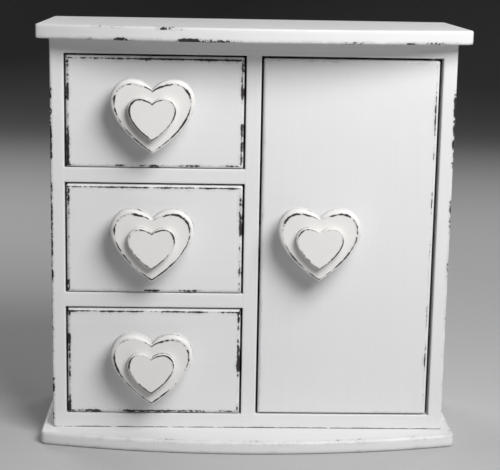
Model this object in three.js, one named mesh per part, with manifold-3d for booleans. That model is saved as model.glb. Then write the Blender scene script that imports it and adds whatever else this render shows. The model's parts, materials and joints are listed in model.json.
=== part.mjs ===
// A small painted jewellery chest: three drawers on the left, a pin-hung door on the right, bow-fronted
// boards above and below, and a two-layer heart knob on every drawer and on the door.
//
// Millimetres, +Z up. The origin is the middle of the chest's footprint, on the surface it stands on.
// The front faces -Y, so a drawer slides out along -Y.

import * as THREE from "three";
import { mergeVertices } from "three/addons/utils/BufferGeometryUtils.js";
import Module from "manifold-3d";

const wasm = await Module();
wasm.setup();

// ---------------------------------------------------------------- driving dimensions

const board = 9; // base, top, sides, door and drawer fronts
const rail = 9.7; // the divider and the carcass's level boards, which the fronts close against
const carcassWidth = 262;
const bayHeight = 73.6; // clear height of one drawer bay
const drawerCount = 3;
const overallDepth = 128;
const backThickness = 3;

const capWidth = 277; // the boards above and below the carcass
const capFrontReach = 10; // how far their front corners stand out past the carcass
const capBow = 18; // how much further the middle of the front bows out

const drawerSideGap = 1.25;
const drawerTopGap = 1.25;
const drawerFloorGap = 0.5;
const boxRunningGap = 0.25; // under the sliding box
const boxSideGap = 2.25;
const boxBackGap = 0.5;
const boxSide = 6; // thickness of a drawer's sides and back
const boxFloor = 3;
const boxWallHeight = 58;

const doorPinSideGap = 2.25;
const doorFreeSideGap = 1.5;
const doorTopGap = 1.5;
const doorFloorGap = 1;
const pinRadius = 1.5;
const pinClearance = 0.1; // radial, in the carcass holes the pins turn in
const pinInDoor = 8;
const pinInCarcass = 5;
const pinEndGap = 0.25;

const knob = { post: 8, outer: 9, inner: 5, postRadius: 8 }; // lengths along Y, and the post's radius
const outerHeart = { width: 54.3, round: 3 };
const innerHeart = { width: 31.4, round: 1, drop: 1 };
const drawerKnobDrop = 1.5; // below the middle of the drawer
const drawerKnobShift = -1;
const doorKnobFromFreeEdge = 37.5;

const knobHole = { radius: 2, inHeart: 7 }; // the hole that a knob's screw goes in
const knobScrew = { headRadius: 4, headHeight: 2.5, shankRadius: 1.75, length: 22 };
const backScrew = { headRadius: 3, headHeight: 2, shankRadius: 1.25, length: 14 };
const backScrewPilot = 16; // depth of its pilot hole in the side panel
const screwGap = 0.25; // round a fixed screw in its hole

const catchBlock = { width: 14, depth: 10, height: 16 };
const magnet = { radius: 4, depth: 3, fit: 0.15 };
const strike = { radius: 5, depth: 1 };
const catchGap = 0.25; // between the strike plate and the magnet with the door shut

const pegRail = { width: 100, depth: 8, height: 16, under: 14 };
const peg = { count: 4, pitch: 24, reach: 22, shankRadius: 1.5, headRadius: 3, seat: 5, fit: 0.1 };

// ---------------------------------------------------------------- places worked out from them

const bayWidth = (carcassWidth - 2 * board - rail) / 2;
const bayPitch = bayHeight + rail;
const cupboardHeight = drawerCount * bayHeight + (drawerCount - 1) * rail;
const carcassHeight = cupboardHeight + 2 * rail;
const carcassFloor = board; // top of the base board
const cupboardFloor = carcassFloor + rail;
const carcassTop = carcassFloor + carcassHeight;

const backY = overallDepth / 2;
const frontY = -overallDepth / 2 + capFrontReach + capBow; // the flush front of carcass, drawers and door
const innerBackY = backY - backThickness;
const carcassDepth = innerBackY - frontY;
const outerX = carcassWidth / 2;
const innerX = outerX - board;
const dividerX = rail / 2;
const bayCentreX = dividerX + bayWidth / 2;

// ---------------------------------------------------------------- materials

const whitePaint = new THREE.MeshStandardMaterial({ color: 0xe4e4e3, roughness: 0.55, metalness: 0 });
const creamPaint = new THREE.MeshStandardMaterial({ color: 0xebe8e2, roughness: 0.5, metalness: 0 });
const bareWood = new THREE.MeshStandardMaterial({ color: 0xcdb38c, roughness: 0.7, metalness: 0 });
const paintedBack = new THREE.MeshStandardMaterial({ color: 0xd9d8d4, roughness: 0.7, metalness: 0 });
const steel = new THREE.MeshStandardMaterial({ color: 0xb4b6b8, roughness: 0.35, metalness: 1 });
const brass = new THREE.MeshStandardMaterial({ color: 0xc79a4b, roughness: 0.3, metalness: 1 });

// ---------------------------------------------------------------- solids and cuts

// Turns a geometry made along +Z so that it runs along -Y, with its own +Y upright.
const alongMinusY = new THREE.Matrix4().set(1, 0, 0, 0, 0, 0, -1, 0, 0, 1, 0, 0, 0, 0, 0, 1);

function solidOf(geometry) {
  const bare = (geometry.index ? geometry.toNonIndexed() : geometry).clone();
  bare.deleteAttribute("normal");
  bare.deleteAttribute("uv");
  const merged = mergeVertices(bare, 1e-4);
  return new wasm.Manifold(
    new wasm.Mesh({
      numProp: 3,
      vertProperties: merged.attributes.position.array,
      triVerts: new Uint32Array(merged.index.array),
    }),
  );
}

function geometryOf(solid) {
  const mesh = solid.getMesh();
  const geometry = new THREE.BufferGeometry();
  geometry.setAttribute("position", new THREE.BufferAttribute(mesh.vertProperties, 3));
  geometry.setIndex(new THREE.BufferAttribute(mesh.triVerts, 1));
  geometry.computeVertexNormals();
  return geometry;
}

function cut(geometry, ...tools) {
  let solid = solidOf(geometry);
  for (const tool of tools) solid = solid.subtract(solidOf(tool));
  return geometryOf(solid);
}

// A box between two values on each axis.
function box([x0, x1], [y0, y1], [z0, z1]) {
  const geometry = new THREE.BoxGeometry(x1 - x0, y1 - y0, z1 - z0);
  return geometry.translate((x0 + x1) / 2, (y0 + y1) / 2, (z0 + z1) / 2);
}

// A round bar along Y or Z from one value to another.
function barAlongY(radius, x, [y0, y1], z, sides = 24) {
  return new THREE.CylinderGeometry(radius, radius, y1 - y0, sides).translate(x, (y0 + y1) / 2, z);
}

function barAlongZ(radius, x, y, [z0, z1], sides = 24) {
  const bar = new THREE.CylinderGeometry(radius, radius, z1 - z0, sides).applyMatrix4(alongMinusY);
  return bar.translate(x, y, (z0 + z1) / 2);
}

// A screw along Y with its head at y = 0, pointing to -Y. Countersunk heads taper down from y = 0,
// and pan heads stand up from it. A cross is cut in the head.
function screwGeometry({ headRadius, headHeight, shankRadius, length }, countersunk) {
  const point = shankRadius * 2;
  const headBase = countersunk ? -headHeight : 0;
  const top = countersunk ? 0 : headHeight;
  const profile = [new THREE.Vector2(0, -length), new THREE.Vector2(shankRadius, -length + point)];
  profile.push(new THREE.Vector2(shankRadius, headBase));
  if (countersunk) {
    profile.push(new THREE.Vector2(headRadius, 0));
  } else {
    profile.push(new THREE.Vector2(headRadius, 0), new THREE.Vector2(headRadius, headHeight * 0.4));
    profile.push(new THREE.Vector2(headRadius * 0.75, headHeight * 0.85));
  }
  profile.push(new THREE.Vector2(0, top));
  const arm = headRadius * 0.6;
  const slot = headRadius * 0.12;
  const depth = [top - headHeight * 0.55, top + 1];
  return cut(
    new THREE.LatheGeometry(profile, 20),
    box([-arm, arm], depth, [-slot, slot]),
    box([-slot, slot], depth, [-arm, arm]),
  );
}

// ---------------------------------------------------------------- shapes

// Half a heart is three curves: from the notch over the lobe, round to the widest point, and to the tip.
// Every number is a share of the heart's width. The middle of the heart's height is at the origin.
function heartShape(width) {
  const tip = 0.872;
  const notch = 0.12;
  const lobe = 0.248;
  const widest = 0.262;
  const at = (x, down) => [x * width, (tip / 2 - down) * width];
  const shape = new THREE.Shape();
  shape.moveTo(...at(0, notch));
  shape.bezierCurveTo(...at(-0.062, 0.042), ...at(-0.154, 0), ...at(-lobe, 0));
  shape.bezierCurveTo(...at(-0.408, 0), ...at(-0.5, 0.137), ...at(-0.5, widest));
  shape.bezierCurveTo(...at(-0.5, 0.452), ...at(-0.253, 0.717), ...at(0, tip));
  shape.bezierCurveTo(...at(0.253, 0.717), ...at(0.5, 0.452), ...at(0.5, widest));
  shape.bezierCurveTo(...at(0.5, 0.137), ...at(0.408, 0), ...at(lobe, 0));
  shape.bezierCurveTo(...at(0.154, 0), ...at(0.062, 0.042), ...at(0, notch));
  return shape;
}

// A heart with its back face at y = 0, standing out along -Y by its thickness, with rounded rims.
function heartGeometry({ width, round }, thickness) {
  const geometry = new THREE.ExtrudeGeometry(heartShape(width), {
    depth: thickness - 2 * round,
    bevelThickness: round,
    bevelSize: round,
    bevelOffset: -round,
    bevelSegments: 2,
    curveSegments: 6,
  });
  return geometry.translate(0, 0, round).applyMatrix4(alongMinusY);
}

// The bow-fronted board: straight sides and back, and one arc across the front.
function capGeometry(floorZ) {
  const half = capWidth / 2;
  const corner = frontY - capFrontReach;
  const radius = (half * half + capBow * capBow) / (2 * capBow);
  const sweep = Math.asin(half / radius);
  const down = -Math.PI / 2;
  const shape = new THREE.Shape();
  shape.moveTo(half, backY);
  shape.lineTo(-half, backY);
  shape.lineTo(-half, corner);
  shape.absarc(0, corner - capBow + radius, radius, down - sweep, down + sweep, false);
  shape.closePath();
  const settings = { depth: board, bevelEnabled: false, curveSegments: 24 };
  return new THREE.ExtrudeGeometry(shape, settings).translate(0, 0, floorZ);
}

// ---------------------------------------------------------------- assembling

function add(parent, name, geometry, material) {
  const mesh = new THREE.Mesh(geometry, material);
  mesh.name = name;
  parent.add(mesh);
  return mesh;
}

const chest = new THREE.Group();

// The places of the screws that hold the back panel on, two down each side and one more between them.
const backScrewPlaces = [];
for (const side of [-1, 1]) {
  for (const share of [0.1, 0.5, 0.9]) {
    backScrewPlaces.push([side * (outerX - board / 2), carcassFloor + Math.round(share * carcassHeight)]);
  }
}

const doorPinX = innerX - doorPinSideGap - board / 2;
const doorPinY = frontY + board / 2;

function addCarcass() {
  const carcass = new THREE.Group();
  chest.add(carcass);
  const depth = [frontY, innerBackY];
  const upright = [carcassFloor, carcassTop];
  const pilotRadius = backScrew.shankRadius + screwGap;
  const pilot = ([x, z]) => barAlongY(pilotRadius, x, [innerBackY - backScrewPilot, innerBackY + 1], z);
  const places = (side) => backScrewPlaces.filter(([x]) => x * side > 0);
  const pinHole = (z0, z1) => barAlongZ(pinRadius + pinClearance, doorPinX, doorPinY, [z0, z1]);

  add(carcass, "base_board", capGeometry(0), whitePaint);
  add(carcass, "top_board", capGeometry(carcassTop), whitePaint);
  const left = box([-outerX, -innerX], depth, upright);
  add(carcass, "side_panel_left", cut(left, ...places(-1).map(pilot)), whitePaint);
  const right = box([innerX, outerX], depth, upright);
  add(carcass, "side_panel_right", cut(right, ...places(1).map(pilot)), whitePaint);

  const across = [-innerX, innerX];
  const bottom = box(across, depth, [carcassFloor, cupboardFloor]);
  const bottomHole = pinHole(cupboardFloor - pinInCarcass - 1, cupboardFloor + 1);
  add(carcass, "carcass_bottom", cut(bottom, bottomHole), whitePaint);
  const top = box(across, depth, [carcassTop - rail, carcassTop]);
  const topHole = pinHole(carcassTop - rail - 1, carcassTop - rail + pinInCarcass + 1);
  add(carcass, "carcass_top", cut(top, topHole), whitePaint);

  const inside = [cupboardFloor, cupboardFloor + cupboardHeight];
  add(carcass, "divider", box([-dividerX, dividerX], depth, inside), whitePaint);
  const shelfNames = ["drawer_shelf_lower", "drawer_shelf_upper"];
  shelfNames.forEach((name, level) => {
    const z = cupboardFloor + bayHeight + level * bayPitch;
    add(carcass, name, box([-innerX, -dividerX], depth, [z, z + rail]), whitePaint);
  });
}

function addBack() {
  const { headRadius, headHeight, shankRadius } = backScrew;
  const sinks = backScrewPlaces.map(([x, z]) => {
    const sink = [new THREE.Vector2(0, -backThickness - 1)];
    sink.push(new THREE.Vector2(shankRadius + screwGap, -backThickness - 1));
    sink.push(new THREE.Vector2(shankRadius + screwGap, -headHeight - screwGap));
    sink.push(new THREE.Vector2(headRadius + screwGap, 0));
    sink.push(new THREE.Vector2(headRadius + screwGap, 1), new THREE.Vector2(0, 1));
    return new THREE.LatheGeometry(sink, 20).translate(x, backY, z);
  });
  const panel = box([-outerX, outerX], [innerBackY, backY], [carcassFloor, carcassTop]);
  add(chest, "back_panel", cut(panel, ...sinks), paintedBack);
  backScrewPlaces.forEach(([x, z], i) => {
    const screw = add(chest, `back_panel_screw_${i + 1}`, screwGeometry(backScrew, true), steel);
    screw.position.set(x, backY, z);
  });
}

// A knob's own pieces. Its group stands at the front face of the board that it is screwed to.
function addKnob(parent, name, x, z) {
  const group = new THREE.Group();
  group.position.set(x, 0, z);
  parent.add(group);
  const hole = barAlongY(knobHole.radius, 0, [-knob.post - knobHole.inHeart, 1], 0);
  const post = barAlongY(knob.postRadius, 0, [-knob.post, 0], 0);
  add(group, `${name}_knob_post`, cut(post, hole), creamPaint);
  const outer = heartGeometry(outerHeart, knob.outer).translate(0, -knob.post, 0);
  add(group, `${name}_knob_heart_outer`, cut(outer, hole), creamPaint);
  const inner = heartGeometry(innerHeart, knob.inner);
  inner.translate(0, -knob.post - knob.outer, -innerHeart.drop);
  add(group, `${name}_knob_heart_inner`, inner, creamPaint);
  const screw = add(group, `${name}_knob_screw`, screwGeometry(knobScrew, false), steel);
  screw.position.set(0, board, 0);
}

// A drawer in its own group, whose origin is the middle of the bay's lower front edge.
function addDrawer(name, level) {
  const drawer = new THREE.Group();
  drawer.position.set(-bayCentreX, frontY, cupboardFloor + level * bayPitch);
  chest.add(drawer);

  const frontHalf = bayWidth / 2 - drawerSideGap;
  const knobZ = bayHeight / 2 - drawerKnobDrop;
  const front = box([-frontHalf, frontHalf], [0, board], [drawerFloorGap, bayHeight - drawerTopGap]);
  const hole = barAlongY(knobHole.radius, drawerKnobShift, [-1, board + 1], knobZ);
  add(drawer, `${name}_front`, cut(front, hole), whitePaint);
  addKnob(drawer, name, drawerKnobShift, knobZ);

  const half = bayWidth / 2 - boxSideGap;
  const end = carcassDepth - boxBackGap;
  const wall = [boxRunningGap + boxFloor, boxRunningGap + boxFloor + boxWallHeight];
  add(drawer, `${name}_side_left`, box([-half, -half + boxSide], [board, end], wall), bareWood);
  add(drawer, `${name}_side_right`, box([half - boxSide, half], [board, end], wall), bareWood);
  const between = [-half + boxSide, half - boxSide];
  add(drawer, `${name}_back`, box(between, [end - boxSide, end], wall), bareWood);
  add(drawer, `${name}_floor`, box([-half, half], [board, end], [boxRunningGap, wall[0]]), bareWood);
}

function addDoor() {
  const freeX = dividerX + doorFreeSideGap;
  const span = [cupboardFloor + doorFloorGap, cupboardFloor + cupboardHeight - doorTopGap];
  const knobX = freeX + doorKnobFromFreeEdge;
  const knobZ = cupboardFloor + cupboardHeight / 2;
  const door = new THREE.Group();
  chest.add(door);

  const panel = box([freeX, innerX - doorPinSideGap], [frontY, frontY + board], span);
  const seat = (z0, z1) => barAlongZ(pinRadius + pinClearance, doorPinX, doorPinY, [z0, z1]);
  const screwHole = barAlongY(knobHole.radius, knobX, [frontY - 1, frontY + board + 1], knobZ);
  const lowSeat = seat(span[0] - 1, span[0] + pinInDoor);
  const highSeat = seat(span[1] - pinInDoor, span[1] + 1);
  add(door, "door_panel", cut(panel, lowSeat, highSeat, screwHole), whitePaint);
  const lowPin = [cupboardFloor - pinInCarcass, span[0] + pinInDoor - pinEndGap];
  add(door, "door_pin_lower", barAlongZ(pinRadius, doorPinX, doorPinY, lowPin), steel);
  const highPin = [span[1] - pinInDoor + pinEndGap, cupboardFloor + cupboardHeight + pinInCarcass];
  add(door, "door_pin_upper", barAlongZ(pinRadius, doorPinX, doorPinY, highPin), steel);

  const knobPlace = new THREE.Group();
  knobPlace.position.set(0, frontY, 0);
  door.add(knobPlace);
  addKnob(knobPlace, "door", knobX, knobZ);
}

// The catch: a block glued to the divider holds a magnet, which pulls a steel plate on the door.
function addCatch() {
  const { width, depth, height } = catchBlock;
  const z = cupboardFloor + cupboardHeight / 2;
  const x = dividerX + width / 2;
  const doorBackY = frontY + board;
  const faceY = doorBackY + strike.depth + catchGap;
  const block = box([dividerX, dividerX + width], [faceY, faceY + depth], [z - height / 2, z + height / 2]);
  const pocketEnd = faceY + magnet.depth + magnet.fit;
  const pocket = barAlongY(magnet.radius + magnet.fit, x, [faceY - 1, pocketEnd], z);
  add(chest, "catch_block", cut(block, pocket), whitePaint);
  add(chest, "catch_magnet", barAlongY(magnet.radius, x, [faceY, faceY + magnet.depth], z), steel);
  const plate = barAlongY(strike.radius, x, [doorBackY, doorBackY + strike.depth], z);
  add(chest, "door_strike_plate", plate, steel);
}

// A rail across the back of the cupboard, with a row of pegs to hang necklaces on.
function addPegs() {
  const top = cupboardFloor + cupboardHeight - pegRail.under;
  const face = innerBackY - pegRail.depth;
  const half = pegRail.width / 2;
  const z = top - pegRail.height / 2;
  const places = [];
  for (let i = 0; i < peg.count; i++) places.push(bayCentreX + (i - (peg.count - 1) / 2) * peg.pitch);
  const holeEnd = face + peg.seat + peg.fit;
  const holes = places.map((x) => barAlongY(peg.shankRadius + peg.fit, x, [face - 1, holeEnd], z));
  const rail = box([bayCentreX - half, bayCentreX + half], [face, innerBackY], [top - pegRail.height, top]);
  add(chest, "peg_rail", cut(rail, ...holes), whitePaint);

  // A straight shank from inside the rail, with a ball at its end.
  const { shankRadius, headRadius, reach, seat } = peg;
  const neck = Math.asin(shankRadius / headRadius);
  const profile = [new THREE.Vector2(0, -reach)];
  const steps = 8;
  for (let i = 1; i <= steps; i++) {
    const angle = ((Math.PI - neck) * i) / steps;
    const along = headRadius * (1 - Math.cos(angle)) - reach;
    profile.push(new THREE.Vector2(headRadius * Math.sin(angle), along));
  }
  profile.push(new THREE.Vector2(shankRadius, seat), new THREE.Vector2(0, seat));
  places.forEach((x, i) => {
    const mesh = add(chest, `necklace_peg_${i + 1}`, new THREE.LatheGeometry(profile, 16), brass);
    mesh.position.set(x, face, z);
  });
}

addCarcass();
addBack();
["drawer_lower", "drawer_middle", "drawer_upper"].forEach(addDrawer);
addDoor();
addCatch();
addPegs();

export default chest;
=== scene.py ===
import json
import math

import bpy
from mathutils import Matrix, Vector


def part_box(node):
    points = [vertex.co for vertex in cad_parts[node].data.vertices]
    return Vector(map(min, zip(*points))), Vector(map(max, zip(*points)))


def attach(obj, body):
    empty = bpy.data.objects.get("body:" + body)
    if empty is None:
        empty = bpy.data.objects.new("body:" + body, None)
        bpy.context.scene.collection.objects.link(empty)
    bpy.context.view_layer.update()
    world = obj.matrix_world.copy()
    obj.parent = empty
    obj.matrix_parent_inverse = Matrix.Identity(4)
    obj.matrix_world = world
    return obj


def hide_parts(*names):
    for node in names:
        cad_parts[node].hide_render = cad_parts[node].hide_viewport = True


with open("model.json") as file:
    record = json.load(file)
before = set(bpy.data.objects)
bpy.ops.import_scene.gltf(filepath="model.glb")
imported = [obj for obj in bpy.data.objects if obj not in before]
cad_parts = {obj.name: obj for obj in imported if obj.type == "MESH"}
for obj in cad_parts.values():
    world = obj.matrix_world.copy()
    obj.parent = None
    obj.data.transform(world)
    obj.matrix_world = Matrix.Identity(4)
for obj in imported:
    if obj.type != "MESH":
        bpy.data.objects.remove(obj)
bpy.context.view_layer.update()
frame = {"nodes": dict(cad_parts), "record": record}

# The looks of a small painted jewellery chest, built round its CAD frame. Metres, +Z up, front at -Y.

# ---------------------------------------------------------------- sizes

MM = 0.001
MESH_STEP = 8 * MM  # about how far apart the points of a long straight edge are
CAP_BOW = 18 * MM  # how far the middle of the bowed boards' front stands out past its corners
TOP_ARRIS = 1.3 * MM
TOP_CORNER = 2 * MM
BASE_ARRIS = 2.3 * MM
BASE_CORNER = 4.5 * MM
OUTER_ARRIS = 1 * MM  # the carcass's outer upright edges
OPENING_ARRIS = 0.6 * MM  # round the drawer bays and the cupboard
BUTT_ARRIS = 0.02 * MM  # where boards meet and the paint runs over the joint
FRONT_ARRIS = 1.6 * MM  # drawer fronts and door
FRONT_CORNER = 1.2 * MM
BACK_ARRIS = 0.5 * MM
HEART_TIP = 0.872  # the heart's outline, as shares of its width
HEART_NOTCH = 0.12
HEART_LOBE = 0.248
HEART_WIDEST = 0.262
OUTER_RIM = 3 * MM
INNER_RIM = 1 * MM
BACK_RIM = 0.8 * MM
HEART_BAND = ((1.2 * MM, 0.7), (3 * MM, 0.3), (8 * MM, 0))  # the rub in from the rim, as in RUB_BAND

# How rubbed the paint is at these distances in from where a rounded arris meets its face, from 1 to 0.
SIDE_BAND = 1.5 * MM  # over which the rub dies away on a slab's side
RUB_BAND = ((0.45 * MM, 0.76), (1.1 * MM, 0.5), (3 * MM, 0.25), (8 * MM, 0.0))

record = frame["record"]
BODY_OF = {node: body for body, nodes in record["behaviour"]["bodies"].items() for node in nodes}
DRAWERS = ("drawer_lower", "drawer_middle", "drawer_upper")


# ---------------------------------------------------------------- camera, lights and stage

def make_camera():
    """A long lens a little above the chest, turned and tipped as by hand."""
    camera = bpy.data.objects.new("camera", bpy.data.cameras.new("camera"))
    bpy.context.scene.collection.objects.link(camera)
    camera.data.lens = 99.09
    camera.data.sensor_width = 36
    yaw = math.radians(1.816)
    pitch = math.radians(11.498)
    roll = math.radians(1.04)
    turn = Matrix.Rotation(-yaw, 4, "Z") @ Matrix.Rotation(math.pi / 2 - pitch, 4, "X")
    place = Matrix.Translation((-0.0289, -0.9211, 0.3221))
    camera.matrix_world = place @ turn @ Matrix.Rotation(roll, 4, "Z")
    bpy.context.scene.camera = camera


def make_light(name, place, target, size, watts):
    light = bpy.data.lights.new(name, "AREA")
    light.size = size
    light.energy = watts
    lamp = bpy.data.objects.new(name, light)
    bpy.context.scene.collection.objects.link(lamp)
    lamp.location = place
    lamp.rotation_euler = (Vector(target) - Vector(place)).to_track_quat("-Z", "Y").to_euler()


def make_lights():
    middle = (0, 0, 0.14)
    make_light("key", (0.4, -0.69, 0.83), middle, 0.55, 11.6)
    make_light("back_left", (-0.8, 1.3, 0.9), middle, 0.8, 9)
    make_light("back_right", (0.9, 1.2, 0.8), middle, 0.8, 5)
    world = bpy.data.worlds.new("studio")
    bpy.context.scene.world = world
    world.use_nodes = True
    background = world.node_tree.nodes["Background"]
    background.inputs["Color"].default_value = (1, 1, 1, 1)
    background.inputs["Strength"].default_value = 0.01


# ---------------------------------------------------------------- node helpers

def node(tree, kind, inputs, **settings):
    """A shader node. inputs maps its sockets to values or to other nodes' sockets."""
    made = tree.nodes.new(kind)
    for key, value in settings.items():
        setattr(made, key, value)
    for key, value in inputs.items():
        if isinstance(value, bpy.types.NodeSocket):
            tree.links.new(value, made.inputs[key])
        else:
            made.inputs[key].default_value = value
    return made


def maths(tree, operation, first, second):
    return node(tree, "ShaderNodeMath", {0: first, 1: second}, operation=operation).outputs[0]


def noise(tree, place, scale, detail=2.0):
    inputs = {"Vector": place, "Scale": scale, "Detail": detail}
    return node(tree, "ShaderNodeTexNoise", inputs).outputs["Fac"]


def stretched(tree, place, shares):
    """Coordinates scaled by shares along x, y and z, so that noise read there runs along the smallest."""
    return node(tree, "ShaderNodeMapping", {"Vector": place, "Scale": shares}).outputs["Vector"]


def smooth_step(tree, value, low, high):
    inputs = {"Value": value, "From Min": low, "From Max": high}
    return node(tree, "ShaderNodeMapRange", inputs, interpolation_type="SMOOTHSTEP").outputs["Result"]


def ramp(tree, value, low, high, bottom, top):
    inputs = {"Value": value, "From Min": low, "From Max": high, "To Min": bottom, "To Max": top}
    return node(tree, "ShaderNodeMapRange", inputs).outputs["Result"]


def mixed(tree, share, first, second):
    made = node(tree, "ShaderNodeMix", {"Factor": share}, data_type="RGBA")
    for index, value in ((6, first), (7, second)):
        if isinstance(value, bpy.types.NodeSocket):
            tree.links.new(value, made.inputs[index])
        else:
            made.inputs[index].default_value = (*value, 1)
    return made.outputs[2]


def bumped(tree, height, distance, strength):
    inputs = {"Height": height, "Distance": distance, "Strength": strength}
    return node(tree, "ShaderNodeBump", inputs).outputs["Normal"]


def new_material(name):
    material = bpy.data.materials.new(name)
    material.use_nodes = True
    tree = material.node_tree
    place = node(tree, "ShaderNodeTexCoord", {}).outputs["Object"]
    return material, tree, place, tree.nodes["Principled BSDF"]


def connect(tree, shader, **sockets):
    for key, value in sockets.items():
        tree.links.new(value, shader.inputs[key.replace("_", " ")])


# ---------------------------------------------------------------- materials

WORN_THROUGH = (0.8, 0.88)  # rub, after its luck, over which the undercoat comes to show
WORN_THIN = (0.3, 0.85)  # over which the paint over it greys

def painted(name, colour, streak_shares):
    """Satin paint, rubbed through to a dark undercoat where the rub attribute is high. The same darkening
    also paints shade: a near-black contact shadow along the joint between the body and the base, and
    faint shade lines along the caps' front arrises.
    """
    material, tree, place, shader = new_material(name)
    rub = node(tree, "ShaderNodeAttribute", {}, attribute_name="rub").outputs["Fac"]
    patches = ramp(tree, noise(tree, place, 75, 2), 0.3, 0.7, -0.45, 0.5)
    ragged = ramp(tree, noise(tree, place, 480, 3), 0.3, 0.7, -0.27, 0.27)
    chips = ramp(tree, noise(tree, place, 1500, 1), 0.3, 0.7, -0.1, 0.1)
    luck = maths(tree, "ADD", maths(tree, "ADD", patches, ragged), chips)
    depth = maths(tree, "MULTIPLY", rub, maths(tree, "ADD", luck, 1))
    worn = smooth_step(tree, depth, *WORN_THROUGH)
    thin = smooth_step(tree, depth, *WORN_THIN)

    clouds = noise(tree, place, 14, 2)
    streaks = noise(tree, stretched(tree, place, streak_shares), 1, 3)
    shade = maths(tree, "ADD", clouds, streaks)
    darker = tuple(0.975 * channel for channel in colour)
    coat = mixed(tree, ramp(tree, shade, 0.7, 1.3, 0, 1), darker, colour)
    # Greying of thinned paint near rubbed edges; along the top board's lower front arris and the base's
    # upper front arris it also paints shade lines.
    greyed = mixed(tree, maths(tree, "MULTIPLY", thin, 0.35), coat, (0.4, 0.38, 0.38))
    dark = mixed(tree, noise(tree, place, 500, 2), (0.008, 0.006, 0.008), (0.05, 0.04, 0.042))
    # The dark undercoat where the paint is rubbed through; along the joint between the body and the base,
    # and in part along the top board's lower front arris, it paints shadow lines.
    skin = mixed(tree, worn, greyed, dark)

    gloss = ramp(tree, noise(tree, place, 90, 2), 0.3, 0.7, 0.4, 0.5)
    roughness = maths(tree, "ADD", gloss, maths(tree, "MULTIPLY", worn, 0.2))
    film = maths(tree, "SUBTRACT", 1, worn)
    peel = maths(tree, "MULTIPLY", noise(tree, place, 700, 1), 0.12)
    brushed = maths(tree, "MULTIPLY", streaks, 0.04)
    height = maths(tree, "ADD", film, maths(tree, "ADD", peel, brushed))
    normal = bumped(tree, height, 0.15 * MM, 0.5)
    connect(tree, shader, Base_Color=skin, Roughness=roughness, Normal=normal)
    return material


def bare_wood(name, grain_shares):
    """Pale planed timber with its grain along the smallest of grain_shares."""
    material, tree, place, shader = new_material(name)
    grain_place = stretched(tree, place, grain_shares)
    rings = noise(tree, grain_place, 1, 4)
    fibres = noise(tree, grain_place, 9, 2)
    wood = mixed(tree, ramp(tree, rings, 0.35, 0.65, 0, 1), (0.52, 0.36, 0.21), (0.68, 0.51, 0.33))
    tone = mixed(tree, ramp(tree, fibres, 0.4, 0.7, 0, 0.5), wood, (0.43, 0.28, 0.15))
    roughness = ramp(tree, fibres, 0.3, 0.7, 0.55, 0.72)
    normal = bumped(tree, fibres, 0.1 * MM, 0.4)
    connect(tree, shader, Base_Color=tone, Roughness=roughness, Normal=normal)
    return material


def back_board(name):
    """Thin hardboard under one coat of white, with its fibres just showing through."""
    material, tree, place, shader = new_material(name)
    fibres = noise(tree, place, 420, 4)
    clouds = noise(tree, place, 12, 2)
    shade = maths(tree, "ADD", clouds, fibres)
    tone = mixed(tree, ramp(tree, shade, 0.7, 1.3, 0, 1), (0.755, 0.75, 0.74), (0.8, 0.797, 0.79))
    roughness = ramp(tree, fibres, 0.3, 0.7, 0.55, 0.65)
    normal = bumped(tree, fibres, 0.1 * MM, 0.2)
    connect(tree, shader, Base_Color=tone, Roughness=roughness, Normal=normal)
    return material


def metal(name, bright, dull, smooth, rough):
    """Bare metal, clouded between two tones, with fine scratches."""
    material, tree, place, shader = new_material(name)
    clouds = noise(tree, place, 300, 3)
    scratches = noise(tree, stretched(tree, place, (900, 900, 6000)), 1, 2)
    tone = mixed(tree, ramp(tree, clouds, 0.35, 0.65, 0, 1), dull, bright)
    roughness = ramp(tree, maths(tree, "MULTIPLY", clouds, scratches), 0.1, 0.4, rough, smooth)
    normal = bumped(tree, scratches, 0.02 * MM, 0.3)
    connect(tree, shader, Base_Color=tone, Roughness=roughness, Normal=normal)
    shader.inputs["Metallic"].default_value = 1
    return material


WHITE = (0.83, 0.83, 0.835)
CREAM = (0.86, 0.845, 0.825)
STREAKS_ACROSS = (12, 220, 420)
STREAKS_UPRIGHT = (420, 220, 12)
white_across = painted("white_paint_across", WHITE, STREAKS_ACROSS)
white_upright = painted("white_paint_upright", WHITE, STREAKS_UPRIGHT)
cream = painted("cream_paint", CREAM, (150, 300, 150))
wood_lengthwise = bare_wood("bare_wood_lengthwise", (130, 8, 130))
wood_crosswise = bare_wood("bare_wood_crosswise", (8, 130, 130))
hardboard = back_board("painted_hardboard")
steel = metal("zinc_plated_steel", (0.66, 0.66, 0.67), (0.45, 0.45, 0.46), 0.28, 0.45)
nickel = metal("nickel_plate", (0.7, 0.69, 0.66), (0.55, 0.54, 0.52), 0.15, 0.3)
brass = metal("brass", (0.79, 0.58, 0.27), (0.6, 0.41, 0.17), 0.16, 0.34)


# ---------------------------------------------------------------- meshes

def new_mesh(name, points, faces, rubs):
    """A mesh with outward faces, smooth but for its sharp edges, with a rub value at each point."""
    mesh = bpy.data.meshes.new(name)
    mesh.from_pydata(points, [], faces)
    rub = mesh.attributes.new("rub", "FLOAT", "POINT")
    rub.data.foreach_set("value", rubs)
    mesh.shade_smooth()
    mesh.set_sharp_from_angle(angle=math.radians(40))
    return mesh


def loft(name, rings, rubs):
    """A closed solid through rings of equally many points, flat at both ends.

    Seen from its last ring, the points of each ring run counterclockwise."""
    count = len(rings[0])
    faces = [tuple(reversed(range(count)))]
    for ring in range(len(rings) - 1):
        for point in range(count):
            after = (point + 1) % count
            low = ring * count
            faces.append((low + point, low + after, low + count + after, low + count + point))
    last = (len(rings) - 1) * count
    faces.append(tuple(range(last, last + count)))
    points = [point for ring in rings for point in ring]
    return new_mesh(name, points, faces, [rub for ring in rubs for rub in ring])


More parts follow.
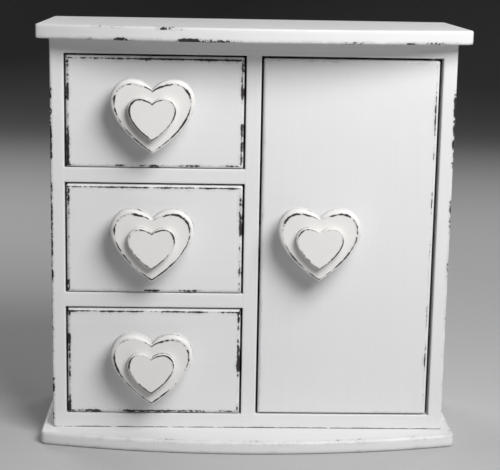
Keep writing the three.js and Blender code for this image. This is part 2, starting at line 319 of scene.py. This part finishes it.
def show(cad_node, mesh, material):
    """Puts a mesh in place of a CAD node, riding on the node's body."""
    piece = bpy.data.objects.new(f"{cad_node}_visual", mesh)
    bpy.context.scene.collection.objects.link(piece)
    mesh.materials.append(material)
    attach(piece, BODY_OF[cad_node])
    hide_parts(cad_node)
    return piece


def arc(centre, radius, start, end, steps):
    """Points on an arc, from one angle to another in degrees."""
    points = []
    for step in range(steps + 1):
        angle = math.radians(start + (end - start) * step / steps)
        points.append((centre[0] + radius * math.cos(angle), centre[1] + radius * math.sin(angle)))
    return points


def between(first, second, length):
    """Points that cut the stretch between two points into parts.

    length is the stretch's own before any pulling in, so that every ring gets equally many points."""
    parts = max(1, round(length / MESH_STEP))
    steps = [step / parts for step in range(1, parts)]
    return [tuple(a + (b - a) * step for a, b in zip(first, second)) for step in steps]


def rectangle(width, height, corner, inset):
    """A round-cornered rectangle round (0, 0), counterclockwise, pulled in by inset."""
    radius = max(corner - inset, BUTT_ARRIS)
    x = width / 2 - inset - radius
    y = height / 2 - inset - radius
    corners = [
        arc((x, -y), radius, -90, 0, 4),
        arc((x, y), radius, 0, 90, 4),
        arc((-x, y), radius, 90, 180, 4),
        arc((-x, -y), radius, 180, 270, 4),
    ]
    points = []
    for index, corner_points in enumerate(corners):
        length = height if index in (0, 2) else width
        points += corner_points
        points += between(corner_points[-1], corners[(index + 1) % 4][0], length)
    return points


def rounding(depth, arris, steps=4):
    """(inset, distance from the face) along a quarter round, from the side to the face."""
    angles = [math.pi / 2 * step / steps for step in range(steps + 1)]
    return [(arris * (1 - math.cos(a)), depth + arris * (1 - math.sin(a))) for a in angles]


def slab_levels(thickness, back_arris, front_arris, side_rub, band=RUB_BAND):
    """(inset, distance from the back face, rub) for each ring of a slab, from its back to its front.

    The rub is 1 where a rounded arris meets the face, and side_rub where it meets the side. band is
    empty for a thin board, whose faces have no room for its insets."""
    slope = (side_rub, side_rub, 0.5 * side_rub + 0.4, 0.5 * side_rub + 0.5, 1.0)
    back = [(inset, away, rub) for (inset, away), rub in zip(rounding(0, back_arris), slope)]
    front_round = rounding(0, front_arris)
    front = [(inset, thickness - away, rub) for (inset, away), rub in zip(front_round, slope)]
    levels = [(back_arris + inset, 0, rub) for inset, rub in reversed(band)]
    levels += list(reversed(back))
    if thickness > back_arris + front_arris + 2 * SIDE_BAND:
        levels.append((0, back_arris + SIDE_BAND, 0.4 * side_rub))
        levels.append((0, thickness - front_arris - SIDE_BAND, 0.4 * side_rub))
    levels += front
    levels += [(front_arris + inset, thickness, rub) for inset, rub in band]
    return levels


def slab(name, outline, levels, to_world, strength):
    """A slab from outline(inset), with a ring at each level. strength(point) scales the rub there."""
    rings = []
    rubs = []
    for inset, away, rub in levels:
        ring = [to_world(u, v, away) for u, v in outline(inset)]
        rings.append(ring)
        rubs.append([rub * strength(Vector(point)) for point in ring])
    return loft(name, rings, rubs)


def interpolated(value, stops):
    """The height at value of a line through (value, height) stops."""
    if value <= stops[0][0]:
        return stops[0][1]
    for (x0, y0), (x1, y1) in zip(stops, stops[1:]):
        if value <= x1:
            return y0 + (y1 - y0) * (value - x0) / (x1 - x0)
    return stops[-1][1]


# ---------------------------------------------------------------- bowed boards

def bowed_outline(low, high, corner_radius):
    """outline(inset) of a bow-fronted board: straight back and ends, and one arc across the front."""
    half = (high.x - low.x) / 2
    radius = (half**2 + CAP_BOW**2) / (2 * CAP_BOW)
    centre_y = low.y + radius
    corner_y = low.y + CAP_BOW

    def outline(inset):
        corner = max(corner_radius - inset, BUTT_ARRIS)
        x = half - inset - corner
        back_y = high.y - inset - corner
        front_y = centre_y - math.sqrt((radius - inset - corner) ** 2 - x**2)
        turn = math.degrees(math.atan2(front_y - centre_y, x))
        back_right = arc((x, back_y), corner, 0, 90, 4)
        back_left = arc((-x, back_y), corner, 90, 180, 4)
        front_left = arc((-x, front_y), corner, 180, 180 - turn, 4)
        front = arc((0, centre_y), radius - inset, -180 - turn, turn, 48)
        front_right = arc((x, front_y), corner, turn, 0, 4)
        points = back_right + between(back_right[-1], back_left[0], 2 * half)
        points += back_left + between(back_left[-1], front_left[0], high.y - corner_y)
        points += front_left + front[1:-1] + front_right
        return points + between(front_right[-1], back_right[0], high.y - corner_y)

    return outline


def cap_strength(low, high, upper_stops, lower_stops):
    """The rub of the front arrises by the share of the width from the left, and a light rub behind."""

    def strength(point):
        if point.y > 0:
            return 0.35
        share = (point.x - low.x) / (high.x - low.x)
        stops = upper_stops if point.z > (low.z + high.z) / 2 else lower_stops
        return interpolated(share, stops)

    return strength


def make_cap(cad_node, corner, arris, upper_stops, lower_stops):
    """The stops give the rub along the upper and the lower front arris."""
    low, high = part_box(cad_node)
    levels = slab_levels(high.z - low.z, arris, arris, 0.9)
    strength = cap_strength(low, high, upper_stops, lower_stops)

    def to_world(u, v, away):
        return (u, v, low.z + away)

    mesh = slab(cad_node, bowed_outline(low, high, corner), levels, to_world, strength)
    show(cad_node, mesh, white_across)


# ---------------------------------------------------------------- straight boards of the carcass

def rail(cad_node, along, arris_at, strength_at, foot_shadow_rub=0.0):
    """A straight board along axis 0 or 2, thin along the other of them, and deep along y.

    arris_at(corner, t) and strength_at(corner, t) give the rounding and the rub of its front arrises,
    corner 0 on the low side of the thin axis and 1 on the high side, at a place t along it.
    foot_shadow_rub is the rub across its face at its low end, which paints the contact shadow along the
    joint below it."""
    low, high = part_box(cad_node)
    thin = 2 - along
    stations = set(STATIONS[along])
    stations.update((low[along], high[along]))
    steps = round((high[along] - low[along]) / MESH_STEP)
    for step in range(steps + 1):
        stations.add(low[along] + (high[along] - low[along]) * step / steps)
    stations = sorted(t for t in stations if low[along] <= t <= high[along])
    stations = [t for t, after in zip(stations, stations[1:] + [math.inf]) if after - t > 0.05 * MM]
    rings = []
    rubs = []
    for t in stations:
        arrises = [arris_at(corner, t) for corner in (0, 1)]
        strengths = [strength_at(corner, t) for corner in (0, 1)]
        ring, rub = rail_ring(low, high, thin, arrises, strengths)
        if t == low[along]:
            rub = [max(value, foot_shadow_rub) for value in rub]
        place = (lambda u, v: (t, v, u)) if along == 0 else (lambda u, v: (u, v, t))
        rings.append([place(u, v) for u, v in ring])
        rubs.append(rub)
    if along == 0:
        rings.reverse()
        rubs.reverse()
    return loft(cad_node, rings, rubs)


def rail_ring(low, high, thin, arrises, strengths):
    """The section of a straight board, as (thin axis, y) counterclockwise, and the rub at each point."""
    u0, u1, front, back = low[thin], high[thin], low.y, high.y
    r0, r1 = arrises
    s0, s1 = strengths
    inner, inner_rub = RUB_BAND[1]
    inner0, inner1 = [JOINT_BAND if arris == BUTT_ARRIS else inner for arris in arrises]
    points = arc((u0 + r0, front + r0), r0, 180, 270, 3)
    rubs = [s0] * 4
    points += [(u0 + r0 + inner0, front), ((u0 + u1) / 2, front), (u1 - r1 - inner1, front)]
    rubs += [s0 * inner_rub * inner0 / inner, 0, s1 * inner_rub * inner1 / inner]
    points += arc((u1 - r1, front + r1), r1, 270, 360, 3)
    rubs += [s1] * 4
    points += [(u1, front + r1 + depth) for depth, _ in RUB_BAND]
    rubs += [s1 * rub for _, rub in RUB_BAND]
    points += [(u1, back), (u0, back)]
    rubs += [0, 0]
    points += [(u0, front + r0 + depth) for depth, _ in reversed(RUB_BAND)]
    rubs += [s0 * rub for _, rub in reversed(RUB_BAND)]
    return points, rubs


def open_spans(axis, nodes):
    """The stretches along an axis that nodes fill, such as the bays that the drawer fronts close."""
    return [(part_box(name)[0][axis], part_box(name)[1][axis]) for name in nodes]


SHELF_NODES = ("carcass_bottom", "drawer_shelf_lower", "drawer_shelf_upper", "carcass_top")
shelf_spans = open_spans(2, SHELF_NODES)
divider_span = open_spans(0, ("divider",))[0]
FADE = 0.6 * MM  # over which an opening's rounding dies away beside a joint
JOINT_SHADOW_RUB = 1.6  # rub along the joint between the body and the base, strong enough to paint a near-black line: painted contact shadow
JOINT_BAND = 0.6 * MM  # over which it dies away
STATIONS = {
    0: [divider_span[0] - BUTT_ARRIS, divider_span[0] + FADE, divider_span[1] - FADE, divider_span[1]],
    2: [edge for z0, z1 in shelf_spans for edge in (z0, z0 + FADE, z1 - FADE, z1)],
}


def opening_arris(t, joints):
    """The rounding of an arris at t: an opening's, but for the butt joints that it runs past."""
    covered = any(start + FADE / 2 < t < end - FADE / 2 for start, end in joints)
    return BUTT_ARRIS if covered else OPENING_ARRIS


def make_side_panel(cad_node, outer_corner, joints, stops):
    low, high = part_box(cad_node)

    def arris_at(corner, t):
        return OUTER_ARRIS if corner == outer_corner else opening_arris(t, joints)

    def strength_at(corner, t):
        if corner != outer_corner:
            return 0.15
        return interpolated((t - low.z) / (high.z - low.z), stops)

    # The side panel's foot is rubbed near-black all round: painted contact shadow along the joint with
    # the base.
    show(cad_node, rail(cad_node, 2, arris_at, strength_at, JOINT_SHADOW_RUB), white_upright)


def make_carcass():
    top_upper = ((0, 0.3), (0.12, 0.4), (0.15, 0.8), (0.2, 0.8), (0.22, 0.4), (0.27, 0.4), (0.28, 1.1))
    top_upper += ((0.33, 1.0), (0.35, 0.3), (1, 0.4))
    # Along the top board's lower front arris the rub paints wear and also the thin shadow line under the
    # board's edge: partly painted shadow.
    top_lower_wear_and_shadow = ((0, 0.4), (0.09, 0.6), (0.12, 0.85), (0.24, 0.85), (0.31, 0.5), (0.34, 1.15))
    top_lower_wear_and_shadow += ((0.45, 1.15), (0.5, 0.5), (0.63, 0.7), (1, 0.8))
    make_cap("top_board", TOP_CORNER, TOP_ARRIS, top_upper, top_lower_wear_and_shadow)
    # Along the base's upper front arris the rub greys a faint continuous line: partly wear and partly
    # painted shade of the rounded arris.
    base_upper_wear_and_shade = ((0, 0.3), (0.1, 0.4), (0.15, 0.58), (1, 0.58))
    base_lower = ((0, 0.5), (0.5, 0.45), (1, 0.5))
    make_cap("base_board", BASE_CORNER, BASE_ARRIS, base_upper_wear_and_shade, base_lower)

    left_stops = ((0, 0.7), (0.3, 0.75), (0.55, 0.8), (0.8, 0.75), (0.95, 0.5))
    make_side_panel("side_panel_left", 0, shelf_spans, left_stops)
    ends = (shelf_spans[0], shelf_spans[-1])
    right_stops = ((0, 0.4), (0.3, 0.55), (0.5, 0.72), (0.85, 0.75), (0.92, 0.5), (1, 0.3))
    make_side_panel("side_panel_right", 1, ends, right_stops)

    def divider_arris(corner, t):
        return opening_arris(t, shelf_spans[1:-1] if corner == 0 else ())

    show("divider", rail("divider", 2, divider_arris, lambda corner, t: 0.1), white_upright)
    for name in SHELF_NODES:
        joints = () if "shelf" in name else (divider_span,)
        butted = {"carcass_bottom": 0, "carcass_top": 1}.get(name)

        def shelf_arris(corner, t):
            return BUTT_ARRIS if corner == butted else opening_arris(t, joints)

        def shelf_strength(corner, t):
            # The bottom board's lower front arris gets the joint rub: painted contact shadow along the
            # joint with the base.
            return JOINT_SHADOW_RUB if name == "carcass_bottom" and corner == 0 else 0.1

        show(name, rail(name, 0, shelf_arris, shelf_strength), white_across)


# ---------------------------------------------------------------- drawer fronts and door

def upright_slab(cad_node, arrises, corner, strengths, material, whole_edge=None):
    """A slab in the x-z plane. strengths gives the rub of its left, right, bottom and top front arrises.

    whole_edge is the one whose rounding is half as rubbed, so that its worn line stands inside it."""
    low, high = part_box(cad_node)
    centre_x, centre_z = (low.x + high.x) / 2, (low.z + high.z) / 2
    width, height = high.x - low.x, high.z - low.z

    def outline(inset):
        return rectangle(width, height, corner, inset)

    def to_world(u, v, away):
        return (centre_x + u, high.y - away, centre_z + v)

    def strength(point):
        distances = (point.x - low.x, high.x - point.x, point.z - low.z, high.z - point.z)
        edge = distances.index(min(distances))
        if point.y > (low.y + high.y) / 2:
            return 0.4 * strengths[edge]
        rounded = point.y > low.y + 0.01 * MM
        return strengths[edge] * (0.5 if rounded and edge == whole_edge else 1)

    band = RUB_BAND if any(strengths) else ()
    levels = slab_levels(high.y - low.y, *arrises, 0.85, band)
    show(cad_node, slab(cad_node, outline, levels, to_world, strength), material)


# ---------------------------------------------------------------- knobs

def bezier(p0, p1, p2, p3, steps):
    """Points on a cubic curve, without its last."""
    points = []
    for step in range(steps):
        t = step / steps
        weights = ((1 - t) ** 3, 3 * (1 - t) ** 2 * t, 3 * (1 - t) * t**2, t**3)
        weighted = list(zip(weights, (p0, p1, p2, p3)))
        points.append(tuple(sum(weight * p[axis] for weight, p in weighted) for axis in (0, 1)))
    return points


def heart_outline(width):
    """The outline of a heart round (0, 0), counterclockwise from its notch."""
    notch, lobe, widest, tip = (0, HEART_NOTCH), (HEART_LOBE, 0), (0.5, HEART_WIDEST), (0, HEART_TIP)
    left = bezier(notch, (0.062, 0.042), (0.154, 0), lobe, 12)
    left += bezier(lobe, (0.408, 0), (0.5, 0.137), widest, 14)
    left += bezier(widest, (0.5, 0.452), (0.253, 0.717), tip, 22)
    outline = [(-x, down) for x, down in left] + [tip]
    outline += [(x, down) for x, down in reversed(left[1:])]
    return [(x * width, (HEART_TIP / 2 - down) * width) for x, down in outline]


def rim_shares(outline, width):
    """How much of the full rounding each point has: little in the notch, and less towards the tip."""
    top = max(y for _, y in outline)
    bottom = min(y for _, y in outline)
    notch = Vector(outline[0])
    shares = []
    for x, y in outline:
        height = (y - bottom) / (top - bottom)
        by_height = interpolated(height, ((0, 0.35), (0.3, 0.45), (0.7, 1)))
        by_notch = min(1, 0.2 + (Vector((x, y)) - notch).length / (0.2 * width))
        shares.append(by_height * by_notch)
    return shares


def pulled_in(outline, amounts):
    """The outline with each point moved inwards, square to the outline, by its own amount."""
    moved = []
    for index, (x, y) in enumerate(outline):
        before = Vector(outline[index - 1])
        after = Vector(outline[(index + 1) % len(outline)])
        here = Vector((x, y))
        first = (here - before).normalized()
        second = (after - here).normalized()
        along = (first + second).normalized()
        inwards = Vector((-along.y, along.x))
        reach = amounts[index] / max(0.6, along.dot(first))
        moved.append(here + inwards * reach)
    return moved


def heart(cad_node, rim, strength):
    """A heart with a rounded front rim, worn most where the rim meets its flat face, and low down."""
    low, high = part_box(cad_node)
    width = high.x - low.x
    centre_x, centre_z = (low.x + high.x) / 2, (low.z + high.z) / 2
    outline = heart_outline(width)
    shares = rim_shares(outline, width)
    strengths = [strength * interpolated(y / width, ((-0.15, 1.15), (0.1, 1))) for _, y in outline]
    rings = []
    rubs = []

    def add_ring(points, depths, rub):
        rings.append([(centre_x + x, depth, centre_z + y) for (x, y), depth in zip(points, depths)])
        rubs.append([rub * local for local in strengths])

    for inset, away in reversed(rounding(0, BACK_RIM)):
        add_ring(pulled_in(outline, [inset] * len(outline)), [high.y - away] * len(outline), 0.45)
    rub_by_angle = ((0, 0.72), (0.15, 0.45), (0.3, 0.2), (0.6, 0.2), (0.8, 0.65), (1, 1))
    steps = 7
    for step in range(steps + 1):
        angle = math.pi / 2 * step / steps
        insets = [rim * share * (1 - math.cos(angle)) for share in shares]
        depths = [low.y + rim * share * (1 - math.sin(angle)) for share in shares]
        add_ring(pulled_in(outline, insets), depths, interpolated(step / steps, rub_by_angle))
    face = pulled_in(outline, [rim * share for share in shares])
    middle = Vector((0, -0.05 * width))
    for inset, rub in HEART_BAND:
        shrink = 1 - inset / width
        add_ring([middle + (point - middle) * shrink for point in face], [low.y] * len(outline), rub)
    return loft(cad_node, rings, rubs)


def lathe(cad_node, profile, axis, material, segments=40):
    """A turned piece along axis 1 or 2 in the middle of a node's box.

    profile has (radius, place along the axis) from its high end to its low end."""
    low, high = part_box(cad_node)
    centre = (low + high) / 2
    rings = []
    for radius, along in profile:
        circle = arc((0, 0), radius, 0, 360 * (segments - 1) / segments, segments - 1)
        if axis == 1:
            rings.append([(centre.x + u, along, centre.z + v) for u, v in circle])
        else:
            rings.append([(centre.x + u, centre.y - v, along) for u, v in circle])
    mesh = loft(cad_node, rings, [[0] * segments] * len(rings))
    return show(cad_node, mesh, material)


def make_knob(name):
    show(f"{name}_knob_heart_outer", heart(f"{name}_knob_heart_outer", OUTER_RIM, 0.95), cream)
    show(f"{name}_knob_heart_inner", heart(f"{name}_knob_heart_inner", INNER_RIM, 1.1), cream)
    low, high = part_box(f"{name}_knob_post")
    radius = (high.x - low.x) / 2
    profile = [(radius, high.y), (radius * 0.94, (low.y + high.y) / 2), (radius, low.y)]
    lathe(f"{name}_knob_post", profile, 1, cream)


# ---------------------------------------------------------------- insides

def plain_board(cad_node, arris, material):
    """A box-shaped board with eased arrises."""
    upright_slab(cad_node, (arris, arris), arris, (0, 0, 0, 0), material)


RIGHT, TOP = 1, 3  # their places in upright_slab's strengths
DRAWER_STRENGTHS = {
    "drawer_upper": (1.05, 0.8, 0.75, 1.2),
    "drawer_middle": (0.85, 0.85, 0.7, 1.0),
    "drawer_lower": (0.85, 0.9, 0.8, 1.05),
}
DOOR_STRENGTHS = (0.45, 0.85, 0.35, 0.55)


def make_front(cad_node, strengths, material, whole_edge):
    """A drawer front or the door."""
    upright_slab(cad_node, (BACK_ARRIS, FRONT_ARRIS), FRONT_CORNER, strengths, material, whole_edge)


def make_drawer(name):
    make_front(f"{name}_front", DRAWER_STRENGTHS[name], white_across, TOP)
    make_knob(name)
    for side in ("left", "right"):
        plain_board(f"{name}_side_{side}", 0.4 * MM, wood_lengthwise)
    plain_board(f"{name}_back", 0.4 * MM, wood_crosswise)
    plain_board(f"{name}_floor", 0.3 * MM, wood_crosswise)


def dressed(cad_node, material):
    """A CAD node that keeps its shape and gets a finish."""
    piece = frame["nodes"][cad_node]
    piece.data.materials.clear()
    piece.data.materials.append(material)


def make_door():
    make_front("door_panel", DOOR_STRENGTHS, white_upright, RIGHT)
    make_knob("door")
    for name in ("door_pin_lower", "door_pin_upper"):
        low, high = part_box(name)
        radius = (high.x - low.x) / 2
        ease = 0.4 * MM
        profile = [(radius - ease, high.z), (radius, high.z - ease)]
        profile += [(radius, low.z + ease), (radius - ease, low.z)]
        lathe(name, profile, 2, steel)


def make_disc(cad_node, material):
    low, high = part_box(cad_node)
    radius = (high.x - low.x) / 2
    ease = 0.2 * MM
    profile = [(radius - ease, high.y), (radius, high.y - ease)]
    profile += [(radius, low.y + ease), (radius - ease, low.y)]
    lathe(cad_node, profile, 1, material)


def make_peg(cad_node):
    """A brass peg with a ball at its front end."""
    low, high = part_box(cad_node)
    ball = (high.x - low.x) / 2
    shank = ball / 2
    profile = [(shank, high.y)]
    neck = math.degrees(math.asin(shank / ball))
    for u, v in reversed(arc((0, 0), ball, 3, 180 - neck, 18)):
        profile.append((v, low.y + ball - u))
    lathe(cad_node, profile, 1, brass, 32)


def make_insides():
    plain_board("peg_rail", 0.8 * MM, white_across)
    for index in range(1, 5):
        make_peg(f"necklace_peg_{index}")
    make_disc("catch_magnet", nickel)
    make_disc("door_strike_plate", steel)
    dressed("catch_block", white_across)
    dressed("back_panel", hardboard)
    for index in range(1, 7):
        dressed(f"back_panel_screw_{index}", steel)
    for name in (*DRAWERS, "door"):
        dressed(f"{name}_knob_screw", steel)


def make_stage():
    """A pale floor that curves up into a wall all round."""
    radius = 2.6
    curve = 1.0
    profile = [(0.01, 0), (0.6, 0), (1.2, 0), (radius - curve, 0)]
    profile += [(radius - curve + x, curve + y) for x, y in arc((0, 0), curve, -85, 0, 12)]
    profile.append((radius, 3.2))
    segments = 64
    points = []
    for ring_radius, height in profile:
        circle = arc((0, 0), ring_radius, 0, 360 * (segments - 1) / segments, segments - 1)
        points += [(x, y, height) for x, y in circle]
    faces = [tuple(range(segments))]
    for ring in range(len(profile) - 1):
        for point in range(segments):
            after = (point + 1) % segments
            low = ring * segments
            faces.append((low + point, low + segments + point, low + segments + after, low + after))
    mesh = bpy.data.meshes.new("stage")
    mesh.from_pydata(points, [], faces)
    mesh.shade_smooth()
    material, tree, place, shader = new_material("stage_paper")
    near = mixed(tree, noise(tree, place, 3, 2), (0.5, 0.5, 0.505), (0.53, 0.53, 0.535))
    reach = node(tree, "ShaderNodeVectorMath", {0: place}, operation="LENGTH").outputs["Value"]
    paper = mixed(tree, smooth_step(tree, reach, 0.6, 1.8), near, (0.13, 0.13, 0.13))
    connect(tree, shader, Base_Color=paper)
    shader.inputs["Roughness"].default_value = 0.9
    mesh.materials.append(material)
    stage = bpy.data.objects.new("stage", mesh)
    bpy.context.scene.collection.objects.link(stage)


make_camera()
make_lights()
bpy.context.scene.view_settings.view_transform = "Standard"
make_stage()
make_carcass()
for drawer in DRAWERS:
    make_drawer(drawer)
make_door()
make_insides()
